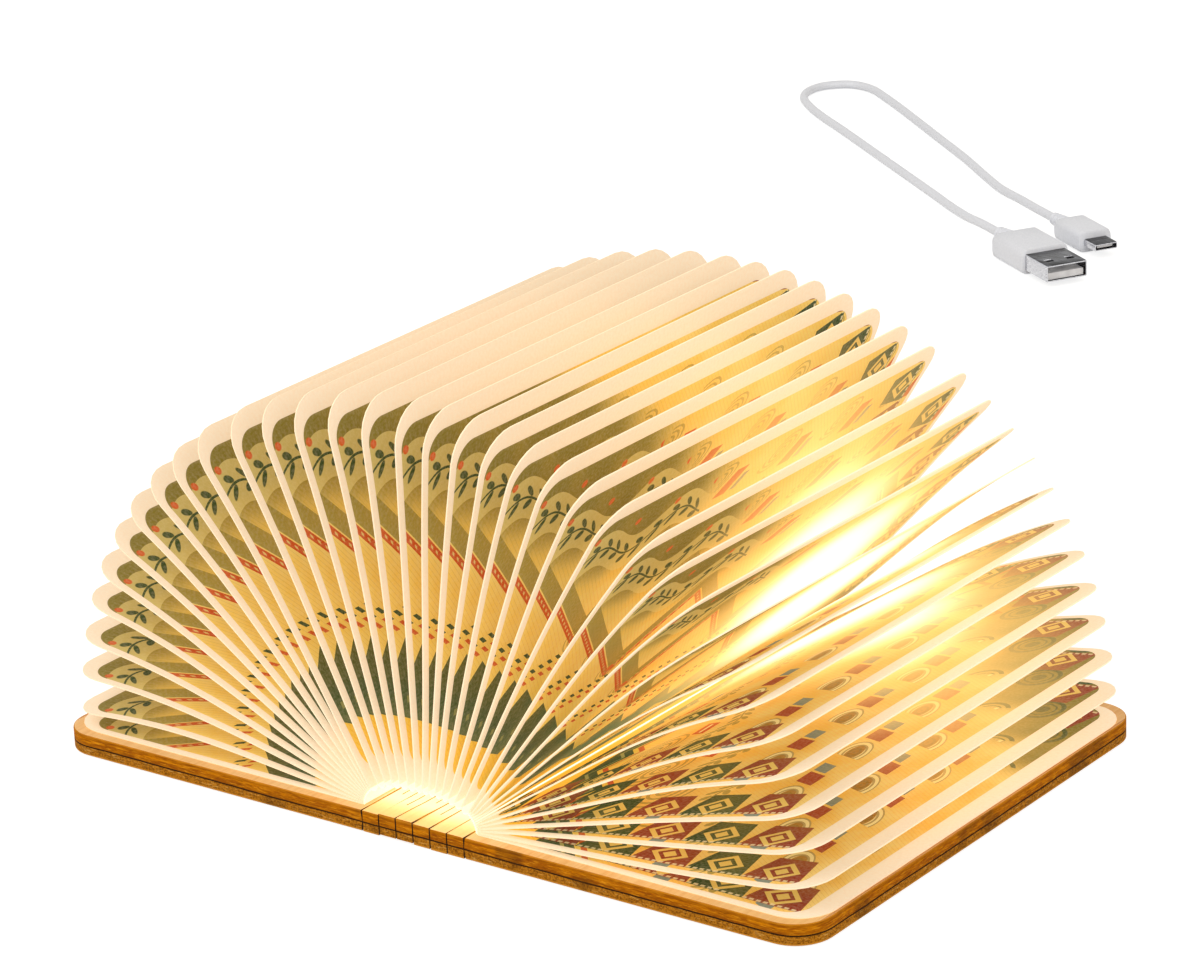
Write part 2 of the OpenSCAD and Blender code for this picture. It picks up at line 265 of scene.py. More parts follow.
def band(value, middle, half):
    """1 where value lies within half of middle."""
    return value.math("COMPARE", middle, half)


def centred(value, pitch, start=0):
    """Value repeated at the pitch, and counted from the middle of each repeat."""
    return (value - start).math("WRAP", pitch / 2, -pitch / 2)


def apart(x, y, squeeze=1):
    """Distance from x = y = 0, along ellipses where squeeze isn't 1."""
    at = add(x.tree, "CombineXYZ", (x, y * squeeze, 0))
    return add(x.tree, "VectorMath", (at,), operation="LENGTH")


def object_mm(tree):
    """Object coordinates in millimetres: the vector, and its X, Y and Z."""
    at = add(tree, "TexCoord", out=3)
    at = add(tree, "VectorMath", (at, (1000, 1000, 1000)), operation="MULTIPLY")
    return at, *(add(tree, "SeparateXYZ", (at,), out=k) for k in range(3))


def new_material(name):
    """The tree of a new, empty node material."""
    material = bpy.data.materials.new(name)
    material.use_nodes = True
    material.node_tree.nodes.clear()
    return material.node_tree


def finish_material(tree, inputs, kind="BsdfPrincipled"):
    """Ends a material with its shader."""
    add(tree, "OutputMaterial", {"Surface": add(tree, kind, inputs)})


def dress(data, names):
    """Gives a mesh or curve its materials by name, in the order of its slots."""
    for name in names:
        data.materials.append(bpy.data.materials[name])


def piece(name, data, *materials, smooth=None):
    """A new object at the origin with its materials, and smooth but for edges over that many degrees."""
    dress(data, materials)
    if smooth:
        data.shade_smooth()
        data.set_sharp_from_angle(angle=math.radians(smooth))
    found = bpy.data.objects.new(name, data)
    bpy.context.scene.collection.objects.link(found)
    return found


def stands_for(obj, node):
    """The piece rides where the solid does and stands for it."""
    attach(obj, BODY_OF[node])
    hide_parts(node)
    return obj


def solid_mesh(name, points, faces, kinds=()):
    """A mesh of points and faces, with the material index of each face where kinds gives it."""
    mesh = bpy.data.meshes.new(name)
    mesh.from_pydata(points, [], faces)
    if kinds:
        mesh.polygons.foreach_set("material_index", kinds)
    return mesh


def skin_mesh(name, levels, loop=False, kinds=()):
    """A skin over rings of points, closed at both ends or, as a loop, from the last ring to the first."""
    n, count = len(levels[0]), len(levels)
    faces = []
    for k in range(count if loop else count - 1):
        here, there = k * n, (k + 1) % count * n
        for j in range(n):
            after = (j + 1) % n
            faces.append((here + j, here + after, there + after, there + j))
    if not loop:
        faces += [tuple(range(n - 1, -1, -1)), tuple(range((count - 1) * n, count * n))]
    return solid_mesh(name, [point for ring in levels for point in ring], faces, kinds)


def sheet_faces(columns, rows):
    """Faces of a thin closed sheet over two grids of points, and their kinds: 0 above, 1 below, 2 edge."""
    n, size = columns + 1, (columns + 1) * (rows + 1)
    faces = []
    for j in range(rows):
        for k in range(columns):
            a = j * n + k
            faces += [(a, a + 1, a + n + 1, a + n),
                      (size + a, size + a + n, size + a + n + 1, size + a + 1)]
    last = rows * n
    rim = [*range(columns), *range(columns, size, n),
           *range(last + columns - 1, last - 1, -1), *range(last - n, 0, -n)]
    faces += [(b, a, a + size, b + size) for a, b in zip(rim, rim[1:] + rim[:1])]
    return faces, [0, 1] * (rows * columns) + [2] * len(rim)


def shape_tree(name, inputs):
    """A Geometry Nodes tree with named inputs and one shape as output; returns it and its inputs."""
    tree = bpy.data.node_groups.new(name, "GeometryNodeTree")
    for kind, names in inputs.items():
        for text in names:
            tree.interface.new_socket(text, in_out="INPUT", socket_type=f"NodeSocket{kind}")
    tree.interface.new_socket("Shape", in_out="OUTPUT", socket_type="NodeSocketGeometry")
    sockets = tree.nodes.new("NodeGroupInput").outputs
    return tree, {s.name: Field(tree, s) for s in sockets if s.name}


def finish_shape(tree, shape, finishes):
    """Ends a tree with Realize Instances and a Set Material for each finish and where it goes."""
    shape = add(tree, "GeometryNodeRealizeInstances", {"Geometry": shape})
    for name, chosen in finishes:
        shape = add(tree, "GeometryNodeSetMaterial",
                    {"Geometry": shape, "Selection": chosen, "Material": bpy.data.materials[name]})
    tree.links.new(shape.socket, tree.nodes.new("NodeGroupOutput").inputs[0])
    return tree


def plain_mesh(name, mesh, tree, values, smooth=None):
    """Runs a tree on a mesh and returns the result as an object with a plain mesh and no modifier."""
    holder = piece(name + "_raw", mesh)
    modifier = holder.modifiers.new("shape", "NODES")
    modifier.node_group = tree
    sockets = {s.name: s.identifier for s in tree.interface.items_tree if s.in_out == "INPUT"}
    for key, value in values.items():
        modifier[sockets[key]] = value
    graph = bpy.context.evaluated_depsgraph_get()
    result = bpy.data.meshes.new_from_object(
        holder.evaluated_get(graph), preserve_all_data_layers=True, depsgraph=graph)
    bpy.data.objects.remove(holder)
    result.name = name
    return piece(name, result, smooth=smooth)


# Leaves and end papers

UV_SPAN = 200
VERSO_SHIFT = 100
PAGE_FINISHES = ("verso_print", "recto_print", "cut_paper_edge")


def page_position(tree):
    """Place on the page in millimetres: X from the root, and Y from the near end of the fold."""
    at = add(tree, "UVMap", uv_map="page")
    x, y = (add(tree, "SeparateXYZ", (at,), out=k) * UV_SPAN for k in (0, 1))
    return x.math("WRAP", VERSO_SHIFT, 0), y


def disc(x, y, radius, soft=0.15, squeeze=1):
    """1 inside a circle or an ellipse round x = y = 0."""
    return ramp(apart(x, y, squeeze), radius - soft, radius + soft, 1, 0)


def rings(x, y, pitch, limit, squeeze=1):
    """Fine rings round x = y = 0, out to limit."""
    far = apart(x, y, squeeze)
    return band(centred(far, pitch), 0, pitch * 0.22) * ramp(far, limit, limit + 0.2, 1, 0)


def vine(x, y, middle, swing, pitch):
    """A wavy stem along the fold with pairs of leaves; returns its mask and its distance."""
    off = x - ((y * (2 * math.pi / pitch)).math("SINE") * swing + middle)
    aside = abs(off) - 1.5
    leaf = disc(aside * 0.7 + centred(y, pitch / 6), aside, 0.95, 0.12, 0.8)
    return band(off, 0, 0.28).math("MAXIMUM", leaf), off


def print_area(x, y):
    """1 on the printed part of a page, which has round corners."""
    p = pages()
    low, high = p.root_border / MM, (LEAF_LENGTH - p.fore_border) / MM
    middle, radius = LEAF_WIDTH / MM / 2, p.corner / MM - 3
    past = [(abs(value) - (half - radius)).math("MAXIMUM", 0) for value, half in (
        (x - (low + high) / 2, (high - low) / 2), (y - middle, middle - p.border / MM))]
    return disc(*past, radius, 0.08)


def ground(x, y, fore, spine, shaded, field):
    """Printed ground with fine engraved lines: golden, and olive at the fore edge where shaded is 1."""
    olive, tree = pages().olive, x.tree
    noise = add(tree, "TexNoise", {
        "Vector": add(tree, "CombineXYZ", (x, y, 0)), "Scale": 0.07, "Detail": 3})
    edge = noise * 12 + x
    return paint(
        tree, field,
        (ramp(noise, 0.35, 0.65, 0, 0.6), "F6E090"),
        (ramp(edge, fore, fore + 12) * shaded, olive),
        (ramp(edge, spine, spine + 12, 0.75, 0), "FFD03E"),
        (band(centred(y * 1.3 + x, 1.5), 0, 0.16) * 0.16, olive))


def bunting(x, y, tone, pitch, row, deep, both_ends=True):
    """Rows of dark and red pennants along the far end of the page, or both ends, pointing inwards."""
    middle = LEAF_WIDTH / MM / 2
    into = (middle - row) - abs(y - middle)
    side = abs(centred(x, pitch, 2))
    flag = band(into, deep / 2, deep / 2) * (into * 0.2 + side < pitch * 0.5)
    if not both_ends:
        flag = flag * (y > middle)
    second = centred(x, 2 * pitch, 2 - pitch / 2) < 0
    lozenge = side + abs(into - deep * 0.42)
    stitches = band(into, 0.5, 0.35) * band(centred(x, 1.6), 0, 0.5)
    return paint(
        x.tree, tone,
        (flag, pages().leaf_green),
        (flag * second, "8E3216"),
        (band(lozenge, deep * 0.34, deep * 0.07) * flag, "E9C86A"),
        ((lozenge < deep * 0.16) * flag, "E9C86A"),
        (stitches * flag * 0.7, "F6E6B8"))


def recto_print(x, y):
    """Right-hand page: dark band at the spine, chevrons, a vine at the near corner, bars at the far one."""
    p = pages()
    tree = x.tree
    pale = "E6D486"
    near = ramp(y, 32, 52, 1, 0)
    close, beyond = near > 0.5, y > 44
    garland, off = vine(x, y, 63, 3, 26)
    berry = disc(x - 69.5, centred(y, 13, 3), 0.9)
    bar = centred(x * -0.7 + y, 22, 3)
    chevron = y.math("PINGPONG", 16) * 1.1 + x
    notch = band(centred(y, 1.5), 0, 0.3)
    eye = (x - 38.5, centred(y, 32, 16))
    slant = x * 1.1 + y
    point = (y - 5).math("PINGPONG", 8)
    dark = (x < point * -1.15 + 29.5) * (x > point * 0.55 + 12)
    green = paint(tree, p.leaf_green, (ramp(x * -0.9 + y, -22, 4) * 0.75, "8C9A6C"))
    fleck = band(centred(y, 3.6), 0, 0.5) * band(x, 17, 0.7)
    spot = disc(x - 21.5, centred(y, 16), 1.2)
    tone = paint(
        tree, ground(x, y, 58, 20, near, p.straw),
        # A vine with berries on a pale ribbon
        (band(off, 0, 4.8) * 0.6 * near, pale),
        (garland * close, p.leaf_green),
        (berry * close, p.red),
        # Beyond it: leaning bars, small grey squares and fine rings
        (band(bar, 0, 2) * band(x, 66, 3.2) * beyond, p.red),
        (band(bar, 4.2, 1) * band(x, 65, 2) * beyond, p.grey_blue),
        (rings(x - 68, bar + 8, 1.1, 4.6) * 0.55 * beyond, p.olive),
        # Notched orange chevrons with an olive ribbon beside them
        (band(chevron, 54, 1.1), p.red),
        (band(chevron, 58.5, 2.9) * 0.75, p.olive),
        (band(chevron, 54, 0.35) * notch * 0.8, pale),
        # Rings in the field
        (rings(*eye, 1.3, 4) * 0.5, p.olive),
        (disc(*eye, 0.9), p.red),
        # Two rows of short dashes, dark and red
        (band(centred(slant, 2.8), 0, 0.6) * band(x, 34.8, 0.8), p.leaf_green),
        (band(centred(slant, 2.8, 1.3), 0, 0.6) * band(x, 32.2, 0.8), p.red),
        # Dark band near the spine: pointed outside, scalloped inside, with flecks and spots
        (dark, green),
        (fleck * 0.7, "9FA060"),
        (spot * 0.8, "D9B23C"))
    return bunting(x, y, tone, 11, 3.8, 9.5, both_ends=False)


def verso_print(x, y):
    """Left-hand page: rosettes and a zigzag at the far corner, blocks, ovals and fine rings elsewhere."""
    p = pages()
    tree = x.tree
    pale = "F8E3A0"
    far = ramp(y, 74, 88)
    distant = far > 0.5
    close = 1 - distant
    rosette = (x - 68.5, centred(y, 20, 19))
    petals = apart(*rosette)
    zigzag = y.math("PINGPONG", 5) * 1.3 + x
    lean = x * 0.5 + y
    outer, block = centred(lean, 24, 7), centred(lean, 30, 16)
    oval = (x - 67, outer + 9.5)
    garland, _ = vine(x, y, 51, 1.6, 18)
    reach = y.math("PINGPONG", 6) * 0.9 + x
    dark = (reach < 24) * (x > 13)
    tone = paint(
        tree, ground(x, y, 60, 26, far, "F6BE4C"),
        # Ringed rosettes on olive, with a bold zigzag beside them
        (band(petals, 4.4, 0.5) * distant, p.leaf_green),
        (band(petals, 2.9, 0.22) * distant, p.leaf_green),
        (disc(*rosette, 1.6) * distant, p.leaf_green),
        (band(zigzag, 62, 0.9) * distant, p.red),
        # Along the fore edge before them: leaning blocks in two colours, and ovals with rings
        (band(outer, 0, 2.6) * band(x, 66.5, 2.6) * close, "A8431A"),
        (band(outer, 5.4, 2) * band(x, 66, 2) * close, p.grey_blue),
        (disc(*oval, 3.9, 0.15, 0.7) * close, pale),
        (disc(*oval, 2, 0.15, 0.55) * close, "A8741C"),
        (rings(*oval, 1.3, 3.9, 0.7) * 0.7 * close, "8C6A20"),
        (garland * 0.7, p.olive),
        # Leaning blocks in orange red and grey blue
        (band(block, 0, 3.1) * band(x, 43.5, 2.6), p.red),
        (band(block, 7.4, 2.4) * band(x, 42.5, 1.8), p.grey_blue),
        (band(block, 0, 2.3) * band(x, 43.5, 0.5), pale),
        # Wide fine rings
        (rings(x - 35, centred(y, 30, 17), 1.7, 7, 0.8) * 0.6, p.olive),
        # A pleated dark band near the spine and a red ribbon beside it
        (dark, p.leaf_green),
        (dark * band(reach, 21, 0.5), "A9A05A"),
        (band(reach, 26.3, 0.8), p.red))
    return bunting(x, y, tone, 13, 3, 10.5)


def gape(tree):
    """Nearness to the place on the right where the leaves gape and the light pours out: close, broad."""
    far = add(tree, "VectorMath", (object_mm(tree)[0], (46, 20, 34)), operation="DISTANCE")
    close = ramp(far, 4, 46, 1, 0)
    return close * close, ramp(far, 10, 100, 1, 0)


def lamp_light(tree, base, close, broad, plain):
    """Colour and strength of the core's light that shows through paper, of which plain is everywhere."""
    p = pages()
    _, x, y, z = object_mm(tree)
    away = apart(x, z - 7)
    core = ramp(away, 1, 17, 1, 0)
    core = core * core * ramp(y, -62, 20, 0.35, 1)
    wide = ramp(away, 10, 95, 1, 0)
    tint = paint(tree, base, (1, p.light), blend="MULTIPLY")
    tint = paint(tree, tint, (core.math("MAXIMUM", ramp(close, 0, 0.6)), "FFF4DF"))
    return tint, (core * 0.12 + wide * 0.06 + close * 0.6 + broad * 0.16 + plain) * p.glow


def page_material(name, picture):
    """Non-woven paper, matt and slightly fibrous, printed on one side and lit from inside."""
    p = pages()
    tree = new_material(name)
    x, y = page_position(tree)
    at = add(tree, "CombineXYZ", (x, y, 0))
    fibres = add(tree, "TexNoise", {"Vector": at, "Scale": 1.4, "Detail": 5, "Roughness": 0.65})
    cloud = add(tree, "TexNoise", {"Vector": at, "Scale": 0.06, "Detail": 2})
    close, broad = gape(tree)
    ink = paint(
        tree, picture(x, y),
        (ramp(fibres, 0.35, 0.7, 0, 0.12), p.paper),
        (ramp(cloud, 0.4, 0.7, 0, 0.12), "F6D070"),
        # The ink looks paler and more golden where light comes through the sheet
        (ramp(broad, 0.4, 1, 0, 0.7), "FFE7A6"))
    base = paint(
        tree, p.paper, (ramp(fibres, 0.3, 0.75, 0, 0.25), "F0D2A4"), (print_area(x, y), ink))
    tint, strength = lamp_light(tree, base, close, broad, 0.42)
    finish_material(tree, {
        "Base Color": paint(tree, base, (1, (p.depth,) * 3), blend="MULTIPLY"),
        "Roughness": 0.82, "Specular IOR Level": 0.25,
        "Normal": add(tree, "Bump", {"Strength": 0.25, "Distance": 0.00006, "Height": fibres}),
        "Emission Color": tint, "Emission Strength": strength})


def cut_edge_material():
    """Cut edge of the leaves: two plies of bare paper, which catch the light."""
    tree = new_material("cut_paper_edge")
    tint, strength = lamp_light(tree, "FFEBD6", *gape(tree), 0.38)
    finish_material(tree, {
        "Base Color": "E9D3B4", "Roughness": 0.75, "Emission Color": tint, "Emission Strength": strength})


def leaf_place(node):
    """Root and direction of a leaf, from its solid: where it stands in X and Z."""
    points = np.array([v.co for v in frame["nodes"][node].data.vertices])[:, (0, 2)]
    middle = points.mean(axis=0)
    _, _, axes = np.linalg.svd(points - middle, full_matrices=False)
    way = axes[0] if axes[0] @ (middle - (0, BOARD)) > 0 else -axes[0]
    root = middle + way * ((points - middle) @ way).min()
    return Vector((root[0], 0, root[1])), Vector((way[0], 0, way[1]))


def sheet_mesh(name, long, wide, corner, thick, near=0, columns=18, rows=20):
    """A flat closed sheet from x = near to x = long with two round corners, and its page map.

    Material 0 is its upper face, 1 its lower face and 2 its cut edge."""
    arc = [math.radians(a) for a in range(0, 90, 15)]
    ends = [(corner - corner * math.cos(a), long - corner + corner * math.sin(a)) for a in arc]
    flat = [(corner + (wide - 2 * corner) * k / rows, long) for k in range(rows + 1)]
    outline = ends + flat + [(wide - y, x) for y, x in reversed(ends)]
    upper = [(near + (reach - near) * k / columns, y - wide / 2)
             for y, reach in outline for k in range(columns + 1)]
    faces, kinds = sheet_faces(columns, len(outline) - 1)
    mesh = solid_mesh(name, [(x, y, z) for z in (thick / 2, -thick / 2) for x, y in upper], faces, kinds)
    page = mesh.uv_layers.new(name="page")
    for polygon, kind in zip(mesh.polygons, kinds):
        shift = VERSO_SHIFT if kind == 0 else 0
        for loop in polygon.loop_indices:
            x, y, _ = mesh.vertices[mesh.loops[loop].vertex_index].co
            page.data[loop].uv = ((x / MM + shift) / UV_SPAN, (y + wide / 2) / MM / UV_SPAN)
    return mesh


def leaf_bend_tree():
    """Nodes that bow and ripple a flat sheet, lean it over and stand it on its root."""
    tree, given = shape_tree("leaf_bend", {
        "Geometry": ("Sheet",),
        "Float": ("Length", "Width", "Bow", "S bend", "Ripple", "Phase", "Twist", "Lean"),
        "Vector": ("Root",)})
    at = add(tree, "GeometryNodeInputPosition")
    x, y, z = (add(tree, "SeparateXYZ", (at,), out=k) for k in range(3))
    share = x.math("DIVIDE", given["Length"])
    sideways = y.math("DIVIDE", given["Width"])
    hump = (share * math.pi).math("SINE")
    swing = (share * (2 * math.pi)).math("SINE")
    waves = (sideways * 9 + given["Phase"]).math("SINE")
    up = hump * given["Bow"] + z + swing * given["S bend"] + waves * hump * given["Ripple"]
    up = up + sideways * share * share * given["Twist"]
    bent = add(tree, "CombineXYZ", (x, y, up))
    leaned = add(tree, "VectorRotate",
                 {"Vector": bent, "Angle": given["Lean"]}, rotation_type="Y_AXIS")
    stood = add(tree, "VectorMath", (leaned, given["Root"]), operation="ADD")
    moved = add(tree, "GeometryNodeSetPosition", {"Geometry": given["Sheet"], "Position": stood})
    slot = add(tree, "GeometryNodeInputMaterialIndex")
    return finish_shape(tree, moved, [
        (name, add(tree, "FunctionNodeCompare", {"A_INT": slot, "B_INT": index}, data_type="INT",
                   operation="EQUAL"))
        for index, name in enumerate(PAGE_FINISHES)])


class BOOKLAMP_OT_leaves(bpy.types.Operator):
    """Make the printed leaves, bowed and leaning as they fan out"""

    bl_idname = "book_lamp.leaves"
    bl_label = "Leaves"

    def execute(self, context):
        p = pages()
        page_material("verso_print", verso_print)
        page_material("recto_print", recto_print)
        cut_edge_material()
        tree = leaf_bend_tree()
        draw = random.Random(7)
        for node in LEAVES:
            root, way = leaf_place(node)
            lean = -math.atan2(way.z, way.x)
            over = math.cos(lean)
            # On the right, the leaves that lie lowest sag a little instead of bowing up
            rise = math.degrees(math.asin(min(1, way.z)))
            lowest, highest = 4, 26
            lifted = min(1, max(0, (rise - lowest) / (highest - lowest)))
            bow = p.droop * over * (1 if over < 0 else 1.1 * lifted - 0.3)
            flat = sheet_mesh(node, LEAF_LENGTH, LEAF_WIDTH, p.corner, p.thick)
            dress(flat, PAGE_FINISHES)
            leaf = plain_mesh(f"paper_{node}", flat, tree, {
                "Length": LEAF_LENGTH, "Width": LEAF_WIDTH,
                "Bow": bow + draw.uniform(-0.5, 0.5) * p.ripple,
                "S bend": draw.uniform(-0.6, 0.6) * p.ripple - 0.2 * bow,
                "Ripple": draw.uniform(0.4, 1) * p.ripple, "Phase": draw.uniform(0, 6.3),
                "Twist": draw.uniform(-1, 1) * p.ripple,
                "Lean": lean, "Root": root}, smooth=40)
            stands_for(leaf, node)
            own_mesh(leaf)
        return {"FINISHED"}


class BOOKLAMP_OT_end_papers(bpy.types.Operator):
    """Make the end papers that are glued on the covers"""

    bl_idname = "book_lamp.end_papers"
    bl_label = "End papers"

    def execute(self, context):
        thick = PAPER_HIGH.z - PAPER_LOW.z
        for side, node, upper in (
                (1, "end_paper_right", "verso_print"), (-1, "end_paper_left", "recto_print")):
            mesh = sheet_mesh(node, PAPER_HIGH.x, LEAF_WIDTH, pages().corner, thick, near=PAPER_LOW.x)
            for loop in mesh.uv_layers["page"].data:
                loop.uv.x -= PAPER_LOW.x / MM / UV_SPAN
            if side < 0:
                mesh.transform(Matrix.Scale(-1, 4, (1, 0, 0)))
                mesh.flip_normals()
            mesh.transform(Matrix.Translation((0, 0, (PAPER_LOW.z + PAPER_HIGH.z) / 2)))
            paper = piece(f"glued_{node}", mesh, upper, upper, "cut_paper_edge")
            stands_for(paper, node)
        return {"FINISHED"}


class BOOKLAMP_OT_inner_folds(bpy.types.Operator):
    """Make the accordion folds that join the roots of the leaves over the light"""

    bl_idname = "book_lamp.inner_folds"
    bl_label = "Inner folds"

    def execute(self, context):
        tree = new_material("lit_accordion_paper")
        at, _, y, _ = object_mm(tree)
        noise = add(tree, "TexNoise", {"Vector": at, "Scale": 0.3, "Detail": 3})
        finish_material(tree, {
            "Base Color": "F4E6CC", "Roughness": 0.8, "Emission Color": "FFFAEE",
            "Emission Strength": noise * 0.15 + ramp(y, -60, -40, 0.35, 0.7)})
        roots = [leaf_place(node)[0] for node in LEAVES]
        middle = LEAVES.index(UPRIGHT_LEAF)
        flank = Vector((PAPER_LOW.x - 0.2 * MM, 0, PAPER_LOW.z + 0.05 * MM))
        # Each half follows its cover at the outside, and the light core in the middle
        for side, name, part in ((-1, "left", roots[:middle + 1]), (1, "right", roots[middle:])):
            line = self.folded(part)
            if side > 0:
                line.append(flank)
            else:
                line.insert(0, Vector((-flank.x, 0, flank.z)))
            folds = piece(
                f"accordion_folds_{name}", self.folded_sheet(line), "lit_accordion_paper", smooth=60)
            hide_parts("inner_fold")
            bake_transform(folds)
        return {"FINISHED"}

    @staticmethod
    def folded(roots):
        """Line through the leaf roots, dipping into a fold between each two."""
        line = []
        steps, deepest = 6, 0.9 * MM
        for a, b in zip(roots, roots[1:]):
            drop = min(deepest, (b - a).length * 0.8)
            across = (b - a).normalized()
            inward = Vector((across.z, 0, -across.x))
            for k in range(steps):
                dip = FOLD_PAPER + drop * math.sin(math.pi * k / steps) ** 0.7
                line.append(a.lerp(b, k / steps) + inward * dip)
        line.append(roots[-1] - Vector((0, 0, FOLD_PAPER)))
        return line

    @staticmethod
    def folded_sheet(line):
        """A thin closed sheet that follows the line and runs along the whole fold."""
        rows = 24
        points = [(p.x, LEAF_WIDTH * (j / rows - 0.5), p.z + layer)
                  for layer in (0, -FOLD_PAPER) for j in range(rows + 1) for p in line]
        return solid_mesh("accordion", points, sheet_faces(len(line) - 1, rows)[0])


# Plywood

def veneer_material():
    """Birch face veneer, sanded: pale, with fine straight grain and a little glue beside the paper."""
    tree = new_material("birch_face_veneer")
    at, x, y, z = object_mm(tree)
    grain_at = add(tree, "Mapping", {"Vector": at, "Scale": (1, 0.05, 1)})
    grain = add(tree, "TexNoise",
                {"Vector": grain_at, "Scale": 1.1, "Detail": 6, "Roughness": 0.6, "Distortion": 0.4})
    figure = add(tree, "TexNoise", {"Vector": grain_at, "Scale": 0.16, "Detail": 2})
    glue_line = abs(x) - (PAPER_HIGH.x / MM + 0.25)
    creep = band(grain * 0.8 + glue_line, 0.4, 0.25)
    beside, end = COVER_LOW.x / MM, FOLD_LENGTH / 2 / MM
    top = ramp(abs(x), beside - 0.6, beside + 1.6, 1, 0) * (z > BOARD / MM - 0.3)
    depth = ramp(abs(y), end - 9, end - 1, 1, 0.25)
    base = paint(
        tree, wood().veneer,
        (ramp(grain, 0.35, 0.7, 0, 0.55), "D89B52"),
        (ramp(figure, 0.35, 0.7, 0, 0.4), "F6D6A0"),
        # Glue that crept out along the edge of the end paper
        (creep * 0.6, "B8660F"),
        # Lit from the core between the covers, and warmer towards the ends of the fold
        (top * 0.5, "F2CC7C"))
    finish_material(tree, {
        "Base Color": base, "Roughness": ramp(grain, 0.3, 0.7, 0.5, 0.62), "Specular IOR Level": 0.35,
        "Normal": add(tree, "Bump", {"Strength": 0.3, "Distance": 0.00008, "Height": grain}),
        "Emission Color": paint(tree, "E9A030", (depth, "FFF6E4")),
        "Emission Strength": top * depth * 0.6})


def cut_ply_material():
    """Laser-cut edge of plywood: honey upper ply, dark glue line, speckled end grain below."""
    w = wood()
    tree = new_material("laser_cut_plywood")
    at, _, _, z = object_mm(tree)
    streak, fine = (
        add(tree, "TexNoise", {
            "Vector": add(tree, "Mapping", {"Vector": at, "Scale": stretch}),
            "Scale": 1, "Detail": detail, "Roughness": roughness})
        for stretch, detail, roughness in (((0.22, 0.22, 2.4), 6, 0.7), ((0.5, 0.5, 5), 4, 0.5)))
    speck = add(tree, "TexNoise", {"Vector": at, "Scale": 2.6, "Detail": 4, "Roughness": 0.75})
    blot = add(tree, "TexNoise", {"Vector": at, "Scale": 0.09, "Detail": 3})
    wave = blot * 0.5 + z
    upper = paint(
        tree, w.honey,
        (ramp(streak, 0.35, 0.66), "984E04"),
        (0.5 - ramp(z, 2.6, 3.9) * 0.5, "8A4A08"),
        (ramp(fine, 0.54, 0.68, 0, 0.7), "E89C1C"),
        (ramp(fine, 0.32, 0.42, 0.6, 0), "6A3604"))
    lower = paint(
        tree, "7A4806",
        (ramp(speck, 0.38, 0.6), w.umber),
        (ramp(streak, 0.5, 0.72, 0, 0.6), "C88A30"),
        (ramp(fine, 0.6, 0.68, 0, 0.7), "E0B060"),
        (ramp(fine, 0.3, 0.4, 0.7, 0), "4A2C0A"))
    base = paint(
        tree, lower,
        (ramp(wave, 2.2, 2.5), upper),
        # Glue line, pale lower arris, brown and pale bands at the top, the pale one a painted highlight on
        # the top arris, and burns
        (band(wave, 2.32, 0.17), "3B210A"),
        (band(z, 0.2, 0.2), "D08E2C"),
        (ramp(z, 3.5, 3.9, 0, 0.5), "8A4C02"),
        (ramp(z, 4.2, 4.4, 0, 0.5), "D9902A"),
        (ramp(blot, 0.56, 0.68, 0, 0.45), "4A2A0C"))
    finish_material(tree, {
        "Base Color": base, "Roughness": ramp(speck, 0.3, 0.7, 0.6, 0.8), "Specular IOR Level": 0.04,
        "Normal": add(tree, "Bump",
                      {"Strength": 0.55, "Distance": 0.00015, "Height": speck + streak})})


def burnt_kerf_material():
    """Walls of the kerfs and slits, charred by the laser, with a painted glow of the core's light."""
    tree = new_material("charred_kerf_painted_glow")
    at, _, y, z = object_mm(tree)
    soot = add(tree, "TexNoise", {"Vector": at, "Scale": 1.5, "Detail": 4})
    end, top = FOLD_LENGTH / 2 / MM, BOARD / MM
    finish_material(tree, {
        "Base Color": paint(tree, wood().char, (ramp(soot, 0.4, 0.7), "6B4214")), "Roughness": 0.85,
        # Painted glow of the core's light on the kerf walls, brighter towards the top and fading at the
        # ends of the fold
        "Emission Color": "D8962C",
        "Emission Strength": ramp(abs(y), end - 4, end - 0.5, 1, 0) * ramp(z, top - 2, top, 0.1, 0.9)})


class BOOKLAMP_OT_covers(bpy.types.Operator):
    """Make the two plywood covers"""

    bl_idname = "book_lamp.covers"
    bl_label = "Covers"

    def execute(self, context):
        veneer_material()
        cut_ply_material()
        burnt_kerf_material()
        w = wood()
        # Height of each ring of the edge, and how far it is set in: eased arrises and glue lines
        profile = [(0, 0.22), (0.1, 0.06), (0.22, 0), (0.34, 0), (0.4, 0.05), (0.46, 0), (1.2, 0),
                   (2.05, 0), (2.13, 0.07), (2.21, 0), (3.2, 0), (4.28, 0), (4.4, 0.06), (4.5, 0.22)]
        half = FOLD_LENGTH / 2
        # How far the kerf's wall leans back from halfway up to each arris
        lean = 0.3 * MM
        inner = COVER_LOW.x + w.kerf / 2 - lean / 2
        for side, node in ((1, "cover_right"), (-1, "cover_left")):
            levels = []
            for z, inset in profile:
                inset *= MM
                bevel = abs(z * MM - BOARD / 2) / (BOARD / 2) * lean
                r, end = w.corner - inset, half - inset
                outline = [(inner + bevel, -end)]
                for first, y in ((-90, r - end), (0, end - r)):
                    x = COVER_HIGH.x - inset - r
                    turns = [math.radians(turn) for turn in range(first, first + 91, 9)]
                    outline += [(x + r * math.cos(a), y + r * math.sin(a)) for a in turns]
                outline.append((inner + bevel, end))
                levels.append([(x * side, y, z * MM) for x, y in outline])
            # Cut edge all round, charred and with a painted glow at the kerf, and veneer below and above
            kinds = ([1] * (len(levels[0]) - 1) + [2]) * (len(levels) - 1) + [0, 0]
            mesh = skin_mesh(node, levels, kinds=kinds)
            if side < 0:
                mesh.flip_normals()
            cover = piece(
                f"ply_{node}", mesh, "birch_face_veneer", "laser_cut_plywood", "charred_kerf_painted_glow", smooth=30)
            stands_for(cover, node)
        return {"FINISHED"}


